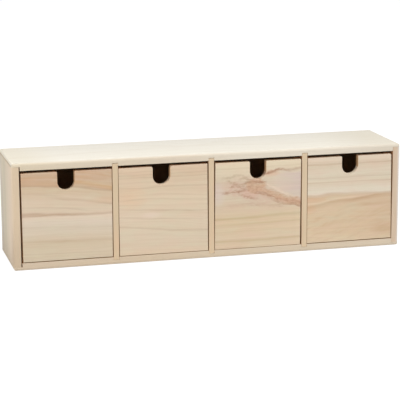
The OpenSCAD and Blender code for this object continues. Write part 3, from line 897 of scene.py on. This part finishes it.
# The box wood is darker than the fronts, which is partly painted shade for the drawer's inside that
# shows through the notch.
BOX_TONES_AND_SHADE = (tone(206, 170, 130), tone(188, 147, 107))
BOX_ENDS_AND_SHADE = (tone(192, 156, 118), tone(170, 131, 93))

for number in (1, 2, 3, 4):
    for part, grain in (("left_wall", "y"), ("right_wall", "y"), ("back", "x")):
        node = f"drawer_{number}_{part}"
        seed = 200 + number * 10 + len(part)
        low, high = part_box(node)
        if grain == "y":
            pith = (40, (low.x + high.x) / 2 / MM + 38)
        else:
            pith = ((low.y + high.y) / 2 / MM - 44, 70)
        woods = board_woods(node, grain, BOX_TONES_AND_SHADE, BOX_ENDS_AND_SHADE, pith, 4.2, 0.7, seed)
        sanded(node, f"drawer_{number}", grain, woods)


# ---- Drawer floors ----
# Thin plywood panels that slide into the grooves round the bottom of each drawer and are held by
# them alone.

for number in (1, 2, 3, 4):
    node = f"drawer_{number}_floor"
    # The floor's veneer is as dark as the box wood, partly painted shade for the drawer's inside.
    veneer = plywood(node + " veneer", "x", tone(200, 163, 122), tone(182, 142, 101), 300 + number)
    sanded(node, f"drawer_{number}", "x", [veneer, veneer], PLY_EASE)


# ---- Pins ----
# Thin steel nails, punched just below the surface. The bright drawn wire has dulled a little.

finish = Finish(bpy.data.materials.new("pin steel"))
spot = finish.add("TexCoord", None, None, "Object")
millimetres = finish.add("VectorMath", {"operation": "SCALE"}, {0: spot, "Scale": 1 / MM})
tarnish = finish.cloud(millimetres, (0.6, 0.6, 0.6), 401, 3.0)
steel_tone = finish.mix(finish.limit((tarnish - 0.4) * 3.0), tone(176, 173, 168), tone(126, 118, 108))
scratches = finish.add("Bump", None, {"Strength": 0.3, "Distance": 0.00005, "Height": tarnish})
shader = finish.add("BsdfPrincipled", None, {
    "Base Color": steel_tone,
    "Metallic": 1.0,
    "Roughness": 0.3 + tarnish * 0.3,
    "Normal": scratches,
})
finish.add("OutputMaterial", None, {"Surface": shader})
for node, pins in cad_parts.items():
    if node.endswith("_pins"):
        pins.data.materials.clear()
        pins.data.materials.append(finish.owner)


# ---- Studio ----
# A white table and a white room, one large soft lamp over the front and a weaker one at the left,
# and the camera where the photographer stood.

AMBIENT = 0.38
WHITE = (1, 1, 1, 1)
TABLE_PAINT = (0.92, 0.92, 0.92, 1)
TABLE_GLOW = 1.15
TABLE_GLOW_SHARE = 0.8
TABLE_REACH = 6.0
TABLE_Z = -0.2 * MM


def straight_on(finish):
    """1 for what the camera sees, also through glass or in metal, and 0 for light on the chest."""
    camera_ray = finish.add("LightPath", None, None, "Is Camera Ray")
    glossy_ray = finish.add("LightPath", None, None, "Is Glossy Ray")
    glass_ray = finish.add("LightPath", None, None, "Is Transmission Ray")
    return finish.sum("MAXIMUM", camera_ray, finish.sum("MAXIMUM", glossy_ray, glass_ray))


room = Finish(bpy.context.scene.world or bpy.data.worlds.new("studio"))
bpy.context.scene.world = room.owner
room_strength = AMBIENT + straight_on(room) * (1 - AMBIENT)
sky = room.add("Background", None, {"Color": WHITE, "Strength": room_strength})
room.add("OutputWorld", None, {"Surface": sky})

table = Finish(bpy.data.materials.new("table"))
matt = table.add("BsdfDiffuse", None, {"Color": TABLE_PAINT})
bright = table.add("Emission", None, {"Color": WHITE, "Strength": TABLE_GLOW})
both = table.add("MixShader", None, {0: straight_on(table) * TABLE_GLOW_SHARE, 1: matt, 2: bright})
table.add("OutputMaterial", None, {"Surface": both})

top = bmesh.new()
bmesh.ops.create_grid(top, x_segments=1, y_segments=1, size=TABLE_REACH)
bmesh.ops.translate(top, verts=top.verts, vec=(0, 0, TABLE_Z))
mesh = bpy.data.meshes.new("table_top")
top.to_mesh(mesh)
top.free()
mesh.materials.append(table.owner)
table_top = bpy.data.objects.new("table_top", mesh)
bpy.context.scene.collection.objects.link(table_top)


def lamp(name, spot, target, size, watts):
    """A square soft lamp that faces its target."""
    light = bpy.data.lights.new(name, "AREA")
    light.shape = "SQUARE"
    light.size = size
    light.energy = watts
    holder = bpy.data.objects.new(name, light)
    holder.location = spot
    holder.rotation_euler = (Vector(target) - Vector(spot)).to_track_quat("-Z", "Y").to_euler()
    bpy.context.scene.collection.objects.link(holder)


lamp("key_lamp", (0.3, -1.0, 2.3), (0, 0, 0.05), 1.5, 46.5)
lamp("left_lamp", (-0.70, -0.22, 0.40), (-0.21, -0.02, 0.06), 0.3, 1.0)

# The camera's place and lens, and how far it is turned right, tipped down and leant, in degrees.
CAMERA_SPOT = (-0.437865, -1.683568, 0.436850)
TURNED = 14.5417
TIPPED = 12.3936
LEANT = 0.28674
LENS = 145.37

camera_data = bpy.data.cameras.new("camera")
camera_data.sensor_width = 36.0
camera_data.lens = LENS
camera_data.clip_end = 30.0
camera = bpy.data.objects.new("camera", camera_data)
camera.matrix_world = (
    Matrix.Translation(CAMERA_SPOT)
    @ Matrix.Rotation(math.radians(-TURNED), 4, "Z")
    @ Matrix.Rotation(math.radians(90 - TIPPED), 4, "X")
    @ Matrix.Rotation(math.radians(-LEANT), 4, "Z")
)
bpy.context.scene.collection.objects.link(camera)
bpy.context.scene.camera = camera
bpy.context.scene.view_settings.view_transform = "Standard"
